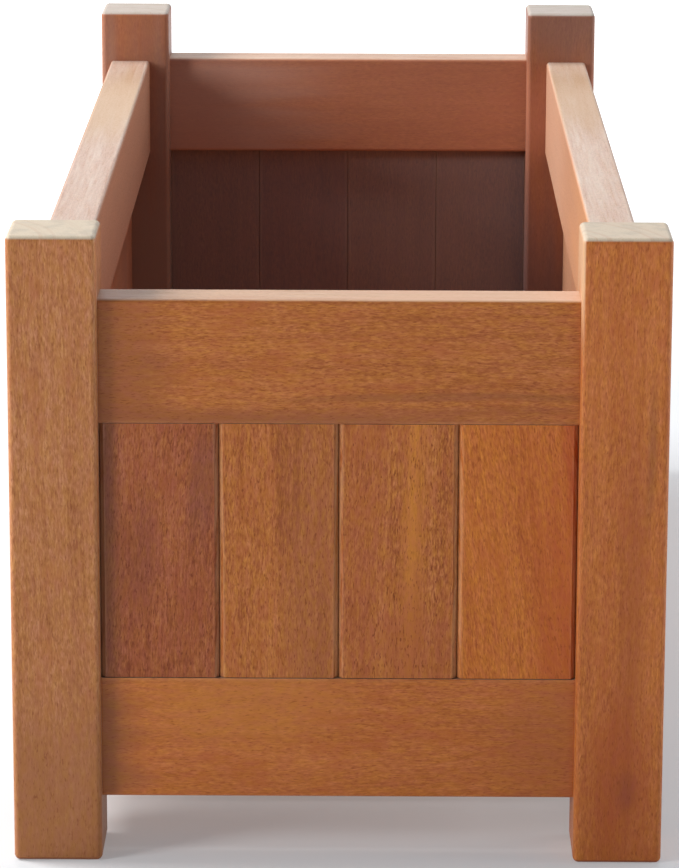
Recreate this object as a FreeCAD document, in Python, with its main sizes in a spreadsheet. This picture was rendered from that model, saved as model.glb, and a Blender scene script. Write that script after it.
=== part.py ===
"""Raised planter box in oiled hardwood: four posts, eight rails, tongued slats and a slatted floor.

Millimetres, +Z up, +Y along the box. The origin is at the middle of the ground under the box.
"""

import FreeCAD
import Part
import Sketcher
import os
from FreeCAD import Placement, Rotation, Vector

# Driving sizes: name, value, meaning
SIZES = [
    ("length", 942, "overall length, along Y"),
    ("width", 382, "overall width, along X"),
    ("height", 376, "overall height to the post tops"),
    ("post_side", 52, "side of a square post"),
    ("post_ease", 3.4, "rounding of a post's arrises"),
    ("rail_height", 73, "height of every rail"),
    ("rail_thick", 30, "thickness of every rail"),
    ("rail_setback", 7, "rail face behind the post face"),
    ("rail_ease", 2.4, "rounding of a rail's free arrises"),
    ("rail_drop", 38, "post top above the top rails"),
    ("foot_height", 38, "ground to the bottom rails"),
    ("tenon_thick", 9, "thickness of a rail tenon"),
    ("tenon_cover", 2, "wood between a rail's groove and its tenon"),
    ("tenon_web", 6, "wood left between the two mortises in a post"),
    ("joint_clear", 0.2, "glue clearance round tenons and tongues"),
    ("groove_depth", 10, "depth of the slat groove in a rail"),
    ("slat_thick", 14.5, "thickness of a slat"),
    ("slat_inset", 0.5, "slat face behind the rail face"),
    ("slat_bevel", 2.6, "bevel on a slat's outer edges"),
    ("slat_gap", 0.4, "gap between neighbouring slats"),
    ("slat_seam", 0.4, "open seam between a slat and its rails"),
    ("end_tongue_thick", 6, "thickness of the tongues on a slat's ends"),
    ("edge_tongue_thick", 4.5, "thickness of the tongues on a slat's edges"),
    ("edge_tongue_length", 5.5, "reach of the tongues on a slat's edges"),
    ("end_slats", 4, "slats in each end"),
    ("side_slats", 12, "slats in each long side"),
    ("cleat_side", 25, "side of a square floor cleat"),
    ("cleat_lift", 4, "cleat above the lower edge of its rail"),
    ("floor_thick", 12, "thickness of a floor board"),
    ("floor_gap", 11, "drain gap between floor boards"),
    ("floor_boards", 10, "number of floor boards"),
    ("floor_ease", 1, "bevel round the top of a floor board"),
    ("fit_clear", 0.5, "clearance of floor pieces from posts and rails"),
    ("screw_shank", 4, "diameter of a screw's shank"),
    ("screw_head", 8, "diameter of a screw's head"),
    ("screw_lip", 0.6, "straight rim of a screw's head"),
    ("screw_bite", 17, "reach of a screw into the second piece"),
    ("screw_sink", 0.3, "head below the surface"),
    ("screw_clear", 0.15, "clearance of a screw in its hole"),
]

# Sizes that follow from the driving sizes, as expressions
POST_HALF = "Sizes.post_side / 2"
CLEAR_WIDTH = "(Sizes.width - 2 * Sizes.post_side)"
CLEAR_LENGTH = "(Sizes.length - 2 * Sizes.post_side)"
PANEL_LOW = "(Sizes.foot_height + Sizes.rail_height)"
PANEL_HIGH = "(Sizes.height - Sizes.rail_drop - Sizes.rail_height)"
LOW_RAIL_MID = "(Sizes.foot_height + Sizes.rail_height / 2)"
HIGH_RAIL_MID = "(Sizes.height - Sizes.rail_drop - Sizes.rail_height / 2)"
INNER_HALF = "(Sizes.width / 2 - Sizes.rail_setback - Sizes.rail_thick)"
TENON_SHOULDER = "(Sizes.groove_depth + Sizes.tenon_cover)"
TENON_MID = "(Sizes.rail_setback + Sizes.rail_thick / 2)"
MORTISE_HALF = "(Sizes.tenon_thick / 2 + Sizes.joint_clear)"
MORTISE_DEPTH = f"(Sizes.post_side - {TENON_MID} - {MORTISE_HALF} - Sizes.tenon_web)"
TENON_LENGTH = f"({MORTISE_DEPTH} - Sizes.joint_clear)"
SLAT_MID = "(Sizes.slat_inset + Sizes.slat_thick / 2)"
CLEAT_MID = "(Sizes.foot_height + Sizes.cleat_lift + Sizes.cleat_side / 2)"
FLOOR_TOP = f"({CLEAT_MID} + Sizes.cleat_side / 2 + Sizes.floor_thick)"
FLOOR_PITCH = f"({CLEAR_LENGTH} / Sizes.floor_boards)"
FLOOR_WIDE = f"({FLOOR_PITCH} - Sizes.floor_gap)"
FLOOR_SCREW_ACROSS = f"({INNER_HALF} - Sizes.cleat_side / 2)"
FLOOR_SCREW_FIRST = f"({FLOOR_PITCH} / 2 - {CLEAR_LENGTH} / 2)"
CLEAT_SCREW_FIRST = f"({FLOOR_PITCH} - {CLEAR_LENGTH} / 2)"
CLEAT_SCREW_STEP = f"2 * {FLOOR_PITCH}"
CLEAT_SCREW_COUNT = "floor(Sizes.floor_boards / 2)"
PILOT_RADIUS = "(Sizes.screw_shank / 2 + Sizes.screw_clear)"
PILOT_DEPTH = "Sizes.screw_bite + Sizes.screw_clear"

# Turns that bring a piece to each side of the box, lay it upside down, or point its Z axis inwards
SIDE_TURN = {
    "front": Rotation(Vector(0, 0, 1), 0),
    "right": Rotation(Vector(0, 0, 1), 90),
    "rear": Rotation(Vector(0, 0, 1), 180),
    "left": Rotation(Vector(0, 0, 1), 270),
}
UPSIDE_DOWN = Rotation(Vector(0, 1, 0), 180)
FACING_IN = Rotation(Vector(0, 1, 1), 180)
ENDS = ("front", "rear")

doc = FreeCAD.newDocument("planter")
sheet = doc.addObject("Spreadsheet::Sheet", "Sizes")
pieces = []


def fill_sheet():
    """Writes every driving size into the sheet under its own name."""
    for row, (alias, value, meaning) in enumerate(SIZES, start=1):
        sheet.set(f"A{row}", meaning)
        sheet.set(f"B{row}", str(value))
        sheet.setAlias(f"B{row}", alias)
    doc.recompute()


def value_of(expression):
    """The number that an expression has at the present sizes."""
    return float(sheet.evalExpression(str(expression).replace("Sizes.", "")))


def new_body(label):
    """An empty body for one piece."""
    body = doc.addObject("PartDesign::Body", label)
    body.Label = label
    pieces.append(body)
    return body


def place(body, x, y, z, rotation=Rotation()):
    """Sets a piece in the box: its position as expressions and its turn."""
    body.Placement = Placement(Vector(value_of(x), value_of(y), value_of(z)), rotation)
    for axis, expression in zip("xyz", (x, y, z)):
        body.setExpression(f".Placement.Base.{axis}", expression)


def origin_item(body, role):
    """A plane or axis of a body's own origin."""
    return next(item for item in body.Origin.OriginFeatures if item.Role == role)


def new_sketch(body, name, plane, offset="0"):
    """An empty sketch on one of the body's planes, moved along that plane's normal."""
    sketch = body.newObject("Sketcher::SketchObject", name)
    sketch.AttachmentSupport = [(origin_item(body, plane), "")]
    sketch.MapMode = "FlatFace"
    sketch.AttachmentOffset = Placement(Vector(0, 0, value_of(offset)), Rotation())
    sketch.setExpression(".AttachmentOffset.Base.z", offset)
    return sketch


def tie(sketch, kind, geometry, point, expression):
    """Holds one coordinate of a point to an expression."""
    number = sketch.addConstraint(Sketcher.Constraint(kind, geometry, point, value_of(expression)))
    sketch.setExpression(f"Constraints[{number}]", expression)


def outline(sketch, points):
    """Draws a closed outline through points given as pairs of expressions."""
    spots = [Vector(value_of(across), value_of(up), 0) for across, up in points]
    lines = [sketch.addGeometry(Part.LineSegment(a, b)) for a, b in zip(spots, spots[1:] + spots[:1])]
    for line, after in zip(lines, lines[1:] + lines[:1]):
        sketch.addConstraint(Sketcher.Constraint("Coincident", line, 2, after, 1))
    for line, (across, up) in zip(lines, points):
        tie(sketch, "DistanceX", line, 1, across)
        tie(sketch, "DistanceY", line, 1, up)


def rectangle(sketch, low_across, high_across, low_up, high_up):
    """Draws an upright rectangle."""
    outline(
        sketch,
        [(low_across, low_up), (high_across, low_up), (high_across, high_up), (low_across, high_up)],
    )


def circle(sketch, across, up, radius):
    """Draws a circle."""
    middle = Vector(value_of(across), value_of(up), 0)
    ring = sketch.addGeometry(Part.Circle(middle, Vector(0, 0, 1), value_of(radius)))
    tie(sketch, "DistanceX", ring, 3, across)
    tie(sketch, "DistanceY", ring, 3, up)
    number = sketch.addConstraint(Sketcher.Constraint("Radius", ring, value_of(radius)))
    sketch.setExpression(f"Constraints[{number}]", radius)


def pad(body, name, sketch, length, both_ways=False):
    """Adds the sketch's outline as a solid of this length."""
    feature = body.newObject("PartDesign::Pad", name)
    feature.Profile = sketch
    feature.SideType = "Symmetric" if both_ways else "One side"
    feature.Length = value_of(length)
    feature.setExpression("Length", length)
    return feature


def volume(body):
    """The solid volume of a body as it stands."""
    doc.recompute()
    return body.Shape.Volume


def pocket(body, name, sketch, depth, backwards=False):
    """Cuts the sketch's outline into the solid, and makes sure that it does cut."""
    before = volume(body)
    feature = body.newObject("PartDesign::Pocket", name)
    feature.Profile = sketch
    feature.Length = value_of(depth)
    feature.setExpression("Length", depth)
    feature.Reversed = backwards
    if volume(body) >= before:
        raise RuntimeError(f"{body.Label}: {name} cuts nothing")
    return feature


def edges_where(feature, wanted):
    """Names of the edges of a feature whose two end points satisfy a test."""
    doc.recompute()
    names = []
    for number, edge in enumerate(feature.Shape.Edges, start=1):
        first, last = (vertex.Point for vertex in edge.Vertexes)
        if wanted(first, last):
            names.append(f"Edge{number}")
    return names


def soften(body, name, feature, wanted, radius):
    """Rounds the chosen edges of a feature."""
    rounding = body.newObject("PartDesign::Fillet", name)
    rounding.Base = (feature, edges_where(feature, wanted))
    rounding.Radius = value_of(radius)
    rounding.setExpression("Radius", radius)


def bevel(body, name, feature, wanted, size):
    """Bevels the chosen edges of a feature."""
    cut = body.newObject("PartDesign::Chamfer", name)
    cut.Base = (feature, edges_where(feature, wanted))
    cut.Size = value_of(size)
    cut.setExpression("Size", size)


def line_step(body, name, axis, spacing, count):
    """One step of a repeat: so many times along one of the body's axes."""
    step = body.newObject("PartDesign::LinearPattern", name)
    step.Direction = (origin_item(body, axis), [""])
    step.Mode = "Spacing"
    step.Offset = value_of(spacing)
    step.setExpression("Offset", spacing)
    step.Occurrences = int(value_of(count))
    step.setExpression("Occurrences", count)
    return step


def half_turn_step(body, name):
    """One step of a repeat: once more, turned half round about the body's Z axis."""
    step = body.newObject("PartDesign::PolarPattern", name)
    step.Axis = (origin_item(body, "Z_Axis"), [""])
    step.Angle = 360
    step.Occurrences = 2
    return step


def repeat(body, name, feature, steps):
    """Repeats a feature by each of the steps in turn."""
    group = body.newObject("PartDesign::MultiTransform", name)
    group.Originals = [feature]
    group.Transformations = steps
    body.Tip = group


def near(a, b):
    """True if two lengths are the same."""
    return abs(a - b) < 1e-4


def make_post(label, across, along, side):
    """A square post with mortises and a slat groove in each of its two inner faces."""
    body = new_body(label)
    section = new_sketch(body, f"{label}_section", "XY_Plane")
    rectangle(section, f"-{POST_HALF}", POST_HALF, f"-{POST_HALF}", POST_HALF)
    blank = pad(body, f"{label}_blank", section, "Sizes.height")
    soften(body, f"{label}_arrises", blank, lambda first, last: True, "Sizes.post_ease")
    mid = f"({TENON_MID} - {POST_HALF})"
    groove_mid = f"(Sizes.rail_setback + {SLAT_MID} - {POST_HALF})"
    groove_half = "(Sizes.edge_tongue_thick / 2 + Sizes.joint_clear)"
    reach = f"(Sizes.rail_height / 2 - {TENON_SHOULDER} + Sizes.joint_clear)"
    for face, plane, offset in (("end", "YZ_Plane", POST_HALF), ("side", "XZ_Plane", f"-{POST_HALF}")):
        away = plane == "XZ_Plane"
        mortises = new_sketch(body, f"{label}_{face}_mortise_outline", plane, offset)
        for rail_mid in (LOW_RAIL_MID, HIGH_RAIL_MID):
            low = f"{rail_mid} - {reach}"
            high = f"{rail_mid} + {reach}"
            rectangle(mortises, f"{mid} - {MORTISE_HALF}", f"{mid} + {MORTISE_HALF}", low, high)
        pocket(body, f"{label}_{face}_mortises", mortises, MORTISE_DEPTH, away)
        groove = new_sketch(body, f"{label}_{face}_groove_outline", plane, offset)
        left = f"{groove_mid} - {groove_half}"
        right = f"{groove_mid} + {groove_half}"
        rectangle(groove, left, right, PANEL_LOW, PANEL_HIGH)
        pocket(body, f"{label}_{face}_groove", groove, "Sizes.edge_tongue_length", away)
    place(body, across, along, "0", SIDE_TURN[side])


def make_rail(label, side, low):
    """A rail with a slat groove along its panel edge and a tenon at each end. A low rail lies upside down."""
    body = new_body(label)
    span = CLEAR_WIDTH if side in ENDS else CLEAR_LENGTH
    half = "Sizes.rail_height / 2"
    deep = f"-{half} + Sizes.groove_depth"
    groove_low = f"{SLAT_MID} - Sizes.end_tongue_thick / 2 - Sizes.joint_clear"
    groove_high = f"{SLAT_MID} + Sizes.end_tongue_thick / 2 + Sizes.joint_clear"
    section = new_sketch(body, f"{label}_section", "YZ_Plane")
    outline(
        section,
        [
            ("0", f"-{half}"),
            (groove_low, f"-{half}"),
            (groove_low, deep),
            (groove_high, deep),
            (groove_high, f"-{half}"),
            ("Sizes.rail_thick", f"-{half}"),
            ("Sizes.rail_thick", half),
            ("0", half),
        ],
    )
    board = pad(body, f"{label}_board", section, span, both_ways=True)
    top = value_of(half)
    back = value_of("Sizes.rail_thick")

    def is_free_arris(first, last):
        return not near(first.x, last.x) and (near(first.z, top) or near(first.y, back))

    soften(body, f"{label}_arrises", board, is_free_arris, "Sizes.rail_ease")
    tenon = new_sketch(body, f"{label}_tenon_section", "YZ_Plane")
    rectangle(
        tenon,
        "Sizes.rail_thick / 2 - Sizes.tenon_thick / 2",
        "Sizes.rail_thick / 2 + Sizes.tenon_thick / 2",
        f"-{half} + {TENON_SHOULDER}",
        f"{half} - {TENON_SHOULDER}",
    )
    pad(body, f"{label}_tenons", tenon, f"{span} + 2 * {TENON_LENGTH}", both_ways=True)
    across = "(Sizes.width / 2 - Sizes.rail_setback)"
    along = "(Sizes.length / 2 - Sizes.rail_setback)"
    x, y = {
        "front": ("0", f"-{along}"),
        "rear": ("0", along),
        "left": (f"-{across}", "0"),
        "right": (across, "0"),
    }[side]
    if low:
        place(body, x, y, LOW_RAIL_MID, SIDE_TURN[side].multiply(UPSIDE_DOWN))
    else:
        place(body, x, y, HIGH_RAIL_MID, SIDE_TURN[side])
    return body


def drill_rail(body):
    """Pilot holes for the cleat screws in the inner face of a long bottom rail, which lies upside down."""
    label = body.Label
    holes = new_sketch(body, f"{label}_pilot_outline", "XZ_Plane", "-Sizes.rail_thick")
    circle(holes, CLEAT_SCREW_FIRST, f"{LOW_RAIL_MID} - {CLEAT_MID}", PILOT_RADIUS)
    first = pocket(body, f"{label}_pilot", holes, PILOT_DEPTH, backwards=True)
    row = line_step(body, f"{label}_pilot_step", "X_Axis", CLEAT_SCREW_STEP, CLEAT_SCREW_COUNT)
    repeat(body, f"{label}_pilots", first, [row])


def make_slat(label, side, number, count):
    """An upright slat: bevelled front edges, tongued edges, and a stub tongue at each end.

    The first slat of a panel has a tongue on both edges, the others a groove towards their neighbour.
    """
    body = new_body(label)
    span = CLEAR_WIDTH if side in ENDS else CLEAR_LENGTH
    pitch = f"({span} / Sizes.{count})"
    left = f"(-{pitch} / 2 + Sizes.slat_gap / 2)"
    right = f"({pitch} / 2 - Sizes.slat_gap / 2)"
    tongue_front = "(Sizes.slat_thick - Sizes.edge_tongue_thick) / 2"
    tongue_back = "(Sizes.slat_thick + Sizes.edge_tongue_thick) / 2"
    groove_front = f"{tongue_front} - Sizes.joint_clear"
    groove_back = f"{tongue_back} + Sizes.joint_clear"
    groove_floor = f"{left} + Sizes.edge_tongue_length"
    tip = f"{right} + Sizes.edge_tongue_length"
    points = [
        (f"{left} + Sizes.slat_bevel", "0"),
        (f"{right} - Sizes.slat_bevel", "0"),
        (right, "Sizes.slat_bevel"),
        (right, tongue_front),
        (tip, tongue_front),
        (tip, tongue_back),
        (right, tongue_back),
        (right, "Sizes.slat_thick"),
        (left, "Sizes.slat_thick"),
    ]
    if number == 1:
        far = f"{left} - Sizes.edge_tongue_length"
        points += [(left, tongue_back), (far, tongue_back), (far, tongue_front), (left, tongue_front)]
    else:
        points += [
            (left, groove_back),
            (groove_floor, groove_back),
            (groove_floor, groove_front),
            (left, groove_front),
        ]
    points.append((left, "Sizes.slat_bevel"))
    section = new_sketch(body, f"{label}_section", "XY_Plane")
    outline(section, points)
    tall = f"({PANEL_HIGH} - {PANEL_LOW} - 2 * Sizes.slat_seam)"
    pad(body, f"{label}_board", section, tall)
    stub = new_sketch(body, f"{label}_stub_section", "XY_Plane", "-Sizes.groove_depth - Sizes.slat_seam")
    rectangle(
        stub,
        f"{groove_floor} + Sizes.edge_tongue_length / 2",
        f"{right} - Sizes.edge_tongue_length / 2",
        "(Sizes.slat_thick - Sizes.end_tongue_thick) / 2",
        "(Sizes.slat_thick + Sizes.end_tongue_thick) / 2",
    )
    pad(
        body,
        f"{label}_stubs",
        stub,
        f"{tall} + 2 * Sizes.groove_depth + 2 * Sizes.slat_seam - Sizes.joint_clear",
    )
    along = f"({pitch} * {number - 0.5} - {span} / 2)"
    face = "(Sizes.rail_setback + Sizes.slat_inset)"
    x, y = {
        "front": (along, f"-Sizes.length / 2 + {face}"),
        "rear": (f"-{along}", f"Sizes.length / 2 - {face}"),
        "left": (f"-Sizes.width / 2 + {face}", f"-{along}"),
        "right": (f"Sizes.width / 2 - {face}", along),
    }[side]
    place(body, x, y, f"{PANEL_LOW} + Sizes.slat_seam", SIDE_TURN[side])


def screw_profile(length):
    """Half the outline of a countersunk screw, as pairs of radius and depth."""
    top = "Sizes.screw_sink"
    rim = f"({top} + Sizes.screw_lip)"
    neck = f"({rim} + (Sizes.screw_head - Sizes.screw_shank) / 2)"
    tip = f"({length})"
    return [
        ("0", top),
        ("Sizes.screw_head / 2", top),
        ("Sizes.screw_head / 2", rim),
        ("Sizes.screw_shank / 2", neck),
        ("Sizes.screw_shank / 2", f"{tip} - Sizes.screw_shank"),
        ("0", tip),
    ]


def hole_profile(length):
    """Half the outline of the countersunk hole that such a screw sits in, as pairs of radius and depth."""
    rim = "(Sizes.screw_sink + Sizes.screw_lip)"
    neck = f"({rim} + (Sizes.screw_head - Sizes.screw_shank) / 2)"
    wide = "(Sizes.screw_head / 2 + Sizes.screw_clear)"
    return [
        ("0", "-1"),
        (wide, "-1"),
        (wide, rim),
        (PILOT_RADIUS, neck),
        (PILOT_RADIUS, length),
        ("0", length),
    ]


def turn_profile(body, kind, name, profile, plane, surface, middle, level=None):
    """Turns a profile round its own axis, which goes into the surface at this place.

    The axis goes down from a level surface, or towards the left through an upright one at this level.
    """
    sketch = new_sketch(body, f"{name}_profile", "XZ_Plane", plane)
    if level is None:
        outline(sketch, [(f"{middle} + {radius}", f"{surface} - ({depth})") for radius, depth in profile])
    else:
        outline(sketch, [(f"{surface} - ({depth})", f"{level} + {radius}") for radius, depth in profile])
    feature = body.newObject(f"PartDesign::{kind}", name)
    feature.Profile = sketch
    feature.ReferenceAxis = (sketch, [f"Edge{len(profile)}"])
    feature.Angle = 360
    return feature


def countersink(body, name, plane, middle, length):
    """A countersunk hole down through a piece whose top is at zero, made sure to cut."""
    before = volume(body)
    hole = turn_profile(body, "Groove", name, hole_profile(length), plane, "0", middle)
    if volume(body) >= before:
        raise RuntimeError(f"{body.Label}: {name} cuts nothing")
    return hole


def make_cleat(label, side):
    """A square strip along the inside of a long bottom rail, screwed to it, with pilot holes for the floor.

    Along the strip is X, up is Y, and away from the rail is Z, with the inner face at zero.
    """
    body = new_body(label)
    section = new_sketch(body, f"{label}_section", "YZ_Plane")
    rectangle(section, "-Sizes.cleat_side / 2", "Sizes.cleat_side / 2", "-Sizes.cleat_side", "0")
    pad(body, f"{label}_strip", section, f"{CLEAR_LENGTH} - 2 * Sizes.fit_clear", both_ways=True)
    hole = countersink(body, f"{label}_hole", "0", CLEAT_SCREW_FIRST, "Sizes.cleat_side + 1")
    row = line_step(body, f"{label}_hole_step", "X_Axis", CLEAT_SCREW_STEP, CLEAT_SCREW_COUNT)
    repeat(body, f"{label}_holes", hole, [row])
    pilots = new_sketch(body, f"{label}_pilot_outline", "XZ_Plane", "-Sizes.cleat_side / 2")
    for way in ("-", "+"):
        circle(pilots, f"{FLOOR_SCREW_FIRST} {way} {FLOOR_WIDE} / 4", "-Sizes.cleat_side / 2", PILOT_RADIUS)
    pair = pocket(body, f"{label}_pilot", pilots, PILOT_DEPTH, backwards=True)
    boards = line_step(body, f"{label}_pilot_step", "X_Axis", FLOOR_PITCH, "Sizes.floor_boards")
    repeat(body, f"{label}_pilots", pair, [boards])
    inner_face = f"({INNER_HALF} - Sizes.cleat_side)"
    across = f"-{inner_face}" if side == "left" else inner_face
    place(body, across, "0", CLEAT_MID, SIDE_TURN[side].multiply(FACING_IN))


def make_floor_board(label, number):
    """A board across the box on the two cleats, with two countersunk holes at each end. Its top is at zero."""
    body = new_body(label)
    section = new_sketch(body, f"{label}_section", "XY_Plane", "-Sizes.floor_thick")
    half_long = f"({INNER_HALF} - Sizes.fit_clear)"
    half_wide = f"{FLOOR_WIDE} / 2"
    rectangle(section, f"-{half_long}", half_long, f"-{half_wide}", half_wide)
    board = pad(body, f"{label}_board", section, "Sizes.floor_thick")

    def is_top(first, last):
        return near(first.z, 0) and near(last.z, 0)

    bevel(body, f"{label}_edges", board, is_top, "Sizes.floor_ease")
    plane = f"{FLOOR_WIDE} / 4"
    hole = countersink(body, f"{label}_hole", plane, f"-{FLOOR_SCREW_ACROSS}", "Sizes.floor_thick + 1")
    ends = line_step(body, f"{label}_end_step", "X_Axis", f"2 * {FLOOR_SCREW_ACROSS}", "2")
    pairs = line_step(body, f"{label}_pair_step", "Y_Axis", f"{FLOOR_WIDE} / 2", "2")
    repeat(body, f"{label}_holes", hole, [ends, pairs])
    place(body, "0", f"{FLOOR_PITCH} * {number - 0.5} - {CLEAR_LENGTH} / 2", FLOOR_TOP)


def make_floor_screws(label):
    """The screws that hold the floor boards to the cleats: two at each end of each board."""
    body = new_body(label)
    body.AllowCompound = True
    profile = screw_profile("Sizes.floor_thick + Sizes.screw_bite")
    first = turn_profile(body, "Revolution", f"{label}_first", profile, "0", "0", "0")
    ends = line_step(body, f"{label}_end_step", "X_Axis", f"2 * {FLOOR_SCREW_ACROSS}", "2")
    pairs = line_step(body, f"{label}_pair_step", "Y_Axis", f"{FLOOR_WIDE} / 2", "2")
    boards = line_step(body, f"{label}_board_step", "Y_Axis", FLOOR_PITCH, "Sizes.floor_boards")
    repeat(body, f"{label}_all", first, [ends, pairs, boards])
    place(body, f"-{FLOOR_SCREW_ACROSS}", f"{FLOOR_SCREW_FIRST} - {FLOOR_WIDE} / 4", FLOOR_TOP)


def make_cleat_screws(label):
    """The screws that hold the cleats to the long bottom rails: a row to the left, and one to the right."""
    body = new_body(label)
    body.AllowCompound = True
    profile = screw_profile("Sizes.cleat_side + Sizes.screw_bite")
    inner_face = f"-({INNER_HALF} - Sizes.cleat_side)"
    plane = f"-{CLEAT_SCREW_FIRST}"
    first = turn_profile(body, "Revolution", f"{label}_first", profile, plane, inner_face, "0", level="0")
    row = line_step(body, f"{label}_row_step", "Y_Axis", CLEAT_SCREW_STEP, CLEAT_SCREW_COUNT)
    other_side = half_turn_step(body, f"{label}_side_step")
    repeat(body, f"{label}_all", first, [row, other_side])
    place(body, "0", "0", CLEAT_MID)


def check_document():
    """Stops if any object in the document is in error, or any piece has no sound shape."""
    doc.recompute()
    for item in doc.Objects:
        if "Invalid" in item.State or "Error" in item.State:
            raise RuntimeError(f"{item.Label} is in error")
    for piece in pieces:
        if piece.Shape.isNull() or not piece.Shape.isValid():
            raise RuntimeError(f"{piece.Label} has no sound shape")


fill_sheet()

# Posts
POST_ACROSS = f"(Sizes.width / 2 - {POST_HALF})"
POST_ALONG = f"(Sizes.length / 2 - {POST_HALF})"
make_post("post_front_left", f"-{POST_ACROSS}", f"-{POST_ALONG}", "front")
make_post("post_front_right", POST_ACROSS, f"-{POST_ALONG}", "right")
make_post("post_rear_right", POST_ACROSS, POST_ALONG, "rear")
make_post("post_rear_left", f"-{POST_ACROSS}", POST_ALONG, "left")

# Rails
for side_name in SIDE_TURN:
    make_rail(f"{side_name}_top_rail", side_name, low=False)
    low_rail = make_rail(f"{side_name}_bottom_rail", side_name, low=True)
    if side_name not in ENDS:
        drill_rail(low_rail)

# Slats
for side_name in SIDE_TURN:
    count_name = "end_slats" if side_name in ENDS else "side_slats"
    total = int(value_of(f"Sizes.{count_name}"))
    digits = len(str(total))
    for position in range(1, total + 1):
        make_slat(f"{side_name}_slat_{position:0{digits}d}", side_name, position, count_name)

# Floor
for side_name in ("left", "right"):
    make_cleat(f"{side_name}_floor_cleat", side_name)
for position in range(1, int(value_of("Sizes.floor_boards")) + 1):
    make_floor_board(f"floor_board_{position:02d}", position)
make_floor_screws("floor_screws")
make_cleat_screws("cleat_screws")

check_document()
os.makedirs("parts", exist_ok=True)
for finished in pieces:
    finished.Shape.exportStep(f"parts/{finished.Label}.step")
print(len(pieces), "pieces")
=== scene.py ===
"""Dresses a raised planter box of oiled hardwood and sets it in soft studio light.

Everything is in metres, in the frame of the solids: the origin is on the ground under the middle of the box,
X goes across it, Y along it and Z up. The end that the camera faces is at -Y.
"""

import logging
import math
import random
from dataclasses import dataclass, field, replace
from enum import Enum
from typing import Union

import bmesh
import bpy
from mathutils import Matrix, Vector


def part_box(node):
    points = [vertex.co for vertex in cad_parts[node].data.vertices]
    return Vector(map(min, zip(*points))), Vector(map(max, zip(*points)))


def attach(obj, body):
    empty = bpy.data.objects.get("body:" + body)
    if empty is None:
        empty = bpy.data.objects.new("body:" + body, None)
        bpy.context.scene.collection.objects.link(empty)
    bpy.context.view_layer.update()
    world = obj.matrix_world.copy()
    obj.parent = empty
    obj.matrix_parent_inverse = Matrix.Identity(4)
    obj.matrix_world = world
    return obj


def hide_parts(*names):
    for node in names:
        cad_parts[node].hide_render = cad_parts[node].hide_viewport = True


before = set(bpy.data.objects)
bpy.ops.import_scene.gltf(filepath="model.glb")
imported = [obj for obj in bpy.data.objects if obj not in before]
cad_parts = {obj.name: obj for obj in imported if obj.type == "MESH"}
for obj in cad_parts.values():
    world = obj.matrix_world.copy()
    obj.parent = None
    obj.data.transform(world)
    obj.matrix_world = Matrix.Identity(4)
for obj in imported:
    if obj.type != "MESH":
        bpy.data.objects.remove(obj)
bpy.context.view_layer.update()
BODY = "root"
GREEN_DYE = 1.6
BLUE_DYE = 2.4
INWARD = {"front": (0, 1), "right": (-1, 0), "rear": (0, -1), "left": (1, 0)}
log = logging.getLogger("planter")

Colour = tuple[float, float, float]
Triple = tuple[float, float, float]
Number = Union[float, "Value"]
Spot = tuple["Value", "Value", "Value"]
Span = tuple[float, float]
Patches = tuple["Patch", ...]


def screen(red: int, green: int, blue: int) -> Colour:
    """Turns a colour as a screen shows it into light.

    Args:
        red: Red, from 0 to 255.
        green: Green, from 0 to 255.
        blue: Blue, from 0 to 255.

    Returns:
        The same colour in linear light, from 0 to 1.
    """
    parts = (part / 255 for part in (red, green, blue))
    return tuple(part / 12.92 if part <= 0.04045 else ((part + 0.055) / 1.055) ** 2.4 for part in parts)


def between(first: Colour, second: Colour, share: float) -> Colour:
    """The colour that has this share of the second one, and the rest of the first."""
    return tuple(one + (other - one) * share for one, other in zip(first, second))


def rows(**named: object) -> dict:
    """A dataclass field that holds these rows, each under the name of its node."""
    return field(default_factory=lambda: dict(named))


def nodes_like(part: str) -> list[str]:
    """The nodes that have this in their names, in order."""
    return sorted(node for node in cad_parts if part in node)


class Value:
    """A number socket that Python's operators work on. Each operation adds one Math node."""

    def __init__(self, bench: "Bench", socket: bpy.types.NodeSocket) -> None:
        """Wraps an output socket of a bench's tree."""
        self.bench = bench
        self.socket = socket

    def math(self, operation: str, first: Number, second: Number = 0.0) -> "Value":
        """Adds one Math node.

        Args:
            operation: The node's operation.
            first: Its first number.
            second: Its second number.

        Returns:
            The node's result.
        """
        return self.bench.node("ShaderNodeMath", {"operation": operation}, {0: first, 1: second})

    def __add__(self, other: Number) -> "Value":
        """This plus another."""
        return self.math("ADD", self, other)

    def __radd__(self, other: Number) -> "Value":
        """A number plus this."""
        return self.math("ADD", other, self)

    def __sub__(self, other: Number) -> "Value":
        """This less another."""
        return self.math("SUBTRACT", self, other)

    def __rsub__(self, other: Number) -> "Value":
        """A number less this."""
        return self.math("SUBTRACT", other, self)

    def __mul__(self, other: Number) -> "Value":
        """This times another."""
        return self.math("MULTIPLY", self, other)

    def __rmul__(self, other: Number) -> "Value":
        """A number times this."""
        return self.math("MULTIPLY", other, self)

    def __pow__(self, other: Number) -> "Value":
        """This to a power."""
        return self.math("POWER", self, other)

    def __abs__(self) -> "Value":
        """The size of this, without its sign."""
        return self.math("ABSOLUTE", self)

    def most(self, other: Number) -> "Value":
        """The larger of this and another."""
        return self.math("MAXIMUM", self, other)

    def rise(self, low: float, high: float) -> "Value":
        """Rises smoothly from 0 to 1.

        Args:
            low: Where the rise starts.
            high: Where it ends. Below low, it falls instead.

        Returns:
            A value from 0 to 1.
        """
        settings = {"interpolation_type": "SMOOTHSTEP"}
        if low < high:
            return self.bench.node("ShaderNodeMapRange", settings, {0: self, 1: low, 2: high})
        return self.bench.node("ShaderNodeMapRange", settings, {0: self, 1: high, 2: low, 3: 1.0, 4: 0.0})


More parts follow.
